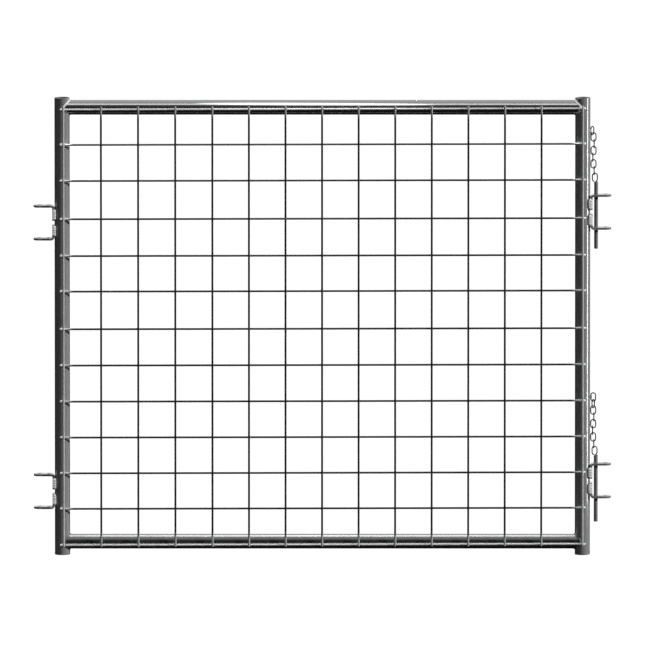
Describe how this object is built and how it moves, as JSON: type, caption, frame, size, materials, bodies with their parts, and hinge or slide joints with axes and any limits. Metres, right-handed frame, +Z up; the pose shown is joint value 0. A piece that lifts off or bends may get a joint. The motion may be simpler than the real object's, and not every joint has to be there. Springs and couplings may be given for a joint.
{
  "type": "kidding panel",
  "caption": "Welded livestock pen panel: round tube frame, square wire mesh on its front, bent strap lugs on both posts and chained drop pins that join panels end to end.",
  "frame": {"origin": "on the ground midway between the posts, in the plane of the tube axes", "axes": "+Z up, +X along the panel towards the post with the drop pins, -Y towards the mesh face"},
  "size_m": [1.5982, 0.0535, 1.275],
  "materials": {
    "tube": "bright galvanised",
    "wire": "galvanised wire",
    "strap": "galvanised flat bar",
    "pin": "bright zinc",
    "chain": "bright zinc",
    "weld": "weld bead under galvanising"
  },
  "bodies": {
    "panel": {"chain_lower_link_1": "chain", "chain_upper_link_1": "chain", "chain_upper_link_2": "chain", "cross_wire_01": "wire", "cross_wire_02": "wire", "cross_wire_03": "wire", "cross_wire_04": "wire", "cross_wire_05": "wire", "cross_wire_06": "wire", "cross_wire_07": "wire", "cross_wire_08": "wire", "cross_wire_09": "wire", "cross_wire_10": "wire", "cross_wire_11": "wire", "cross_wire_12": "wire", "cross_wire_13": "wire", "lug_left_lower_bottom": "strap", "lug_left_lower_top": "strap", "lug_left_upper_bottom": "strap", "lug_left_upper_top": "strap", "lug_right_lower_bottom": "strap", "lug_right_lower_top": "strap", "lug_right_upper_bottom": "strap", "lug_right_upper_top": "strap", "post_left": "tube", "post_right": "tube", "rail_bottom": "tube", "rail_top": "tube", "upright_wire_01": "wire", "upright_wire_02": "wire", "upright_wire_03": "wire", "upright_wire_04": "wire", "upright_wire_05": "wire", "upright_wire_06": "wire", "upright_wire_07": "wire", "upright_wire_08": "wire", "upright_wire_09": "wire", "upright_wire_10": "wire", "upright_wire_11": "wire", "upright_wire_12": "wire", "upright_wire_13": "wire", "upright_wire_14": "wire", "upright_wire_15": "wire", "weld_beads": "weld"},
    "drop_pin_upper": {"pin_upper": "pin", "chain_upper_link_8": "chain"},
    "upper_link_3": {"chain_upper_link_3": "chain"},
    "upper_link_4": {"chain_upper_link_4": "chain"},
    "upper_link_5": {"chain_upper_link_5": "chain"},
    "upper_link_6": {"chain_upper_link_6": "chain"},
    "upper_link_7": {"chain_upper_link_7": "chain"},
    "drop_pin_lower": {"pin_lower": "pin", "chain_lower_link_9": "chain"},
    "lower_link_2_3": {"chain_lower_link_2": "chain", "chain_lower_link_3": "chain"},
    "lower_link_4": {"chain_lower_link_4": "chain"},
    "lower_link_5": {"chain_lower_link_5": "chain"},
    "lower_link_6": {"chain_lower_link_6": "chain"},
    "lower_link_7": {"chain_lower_link_7": "chain"},
    "lower_link_8": {"chain_lower_link_8": "chain"}
  },
  "joints": [
    {"name": "pin_upper_lift", "type": "slide", "parent": "panel", "child": "drop_pin_upper", "axis": [0, 0, 1], "range_m": [0, 0.0576]},
    {"name": "upper_link_3_rise", "type": "slide", "parent": "panel", "child": "upper_link_3", "axis": [0, 0, 1], "range_m": [0, 0.0101]},
    {"name": "upper_link_4_rise", "type": "slide", "parent": "panel", "child": "upper_link_4", "axis": [0, 0, 1], "range_m": [0, 0.0197]},
    {"name": "upper_link_5_rise", "type": "slide", "parent": "panel", "child": "upper_link_5", "axis": [0, 0, 1], "range_m": [0, 0.0293]},
    {"name": "upper_link_6_rise", "type": "slide", "parent": "panel", "child": "upper_link_6", "axis": [0, 0, 1], "range_m": [0, 0.0389]},
    {"name": "upper_link_7_rise", "type": "slide", "parent": "panel", "child": "upper_link_7", "axis": [0, 0, 1], "range_m": [0, 0.0485]},
    {"name": "pin_lower_lift", "type": "slide", "parent": "panel", "child": "drop_pin_lower", "axis": [0, 0, 1], "range_m": [0, 0.0672]},
    {"name": "lower_link_2_3_rise", "type": "slide", "parent": "panel", "child": "lower_link_2_3", "axis": [0, 0, 1], "range_m": [0, 0.0101]},
    {"name": "lower_link_4_rise", "type": "slide", "parent": "panel", "child": "lower_link_4", "axis": [0, 0, 1], "range_m": [0, 0.0197]},
    {"name": "lower_link_5_rise", "type": "slide", "parent": "panel", "child": "lower_link_5", "axis": [0, 0, 1], "range_m": [0, 0.0293]},
    {"name": "lower_link_6_rise", "type": "slide", "parent": "panel", "child": "lower_link_6", "axis": [0, 0, 1], "range_m": [0, 0.0389]},
    {"name": "lower_link_7_rise", "type": "slide", "parent": "panel", "child": "lower_link_7", "axis": [0, 0, 1], "range_m": [0, 0.0485]},
    {"name": "lower_link_8_rise", "type": "slide", "parent": "panel", "child": "lower_link_8", "axis": [0, 0, 1], "range_m": [0, 0.0581]}
  ],
  "couplings": [
    {"joint": "upper_link_3_rise", "follows": "pin_upper_lift", "ratio": 0.16667},
    {"joint": "upper_link_4_rise", "follows": "pin_upper_lift", "ratio": 0.33333},
    {"joint": "upper_link_5_rise", "follows": "pin_upper_lift", "ratio": 0.5},
    {"joint": "upper_link_6_rise", "follows": "pin_upper_lift", "ratio": 0.66667},
    {"joint": "upper_link_7_rise", "follows": "pin_upper_lift", "ratio": 0.83333},
    {"joint": "lower_link_2_3_rise", "follows": "pin_lower_lift", "ratio": 0.14286},
    {"joint": "lower_link_4_rise", "follows": "pin_lower_lift", "ratio": 0.28571},
    {"joint": "lower_link_5_rise", "follows": "pin_lower_lift", "ratio": 0.42857},
    {"joint": "lower_link_6_rise", "follows": "pin_lower_lift", "ratio": 0.57143},
    {"joint": "lower_link_7_rise", "follows": "pin_lower_lift", "ratio": 0.71429},
    {"joint": "lower_link_8_rise", "follows": "pin_lower_lift", "ratio": 0.85714}
  ]
}
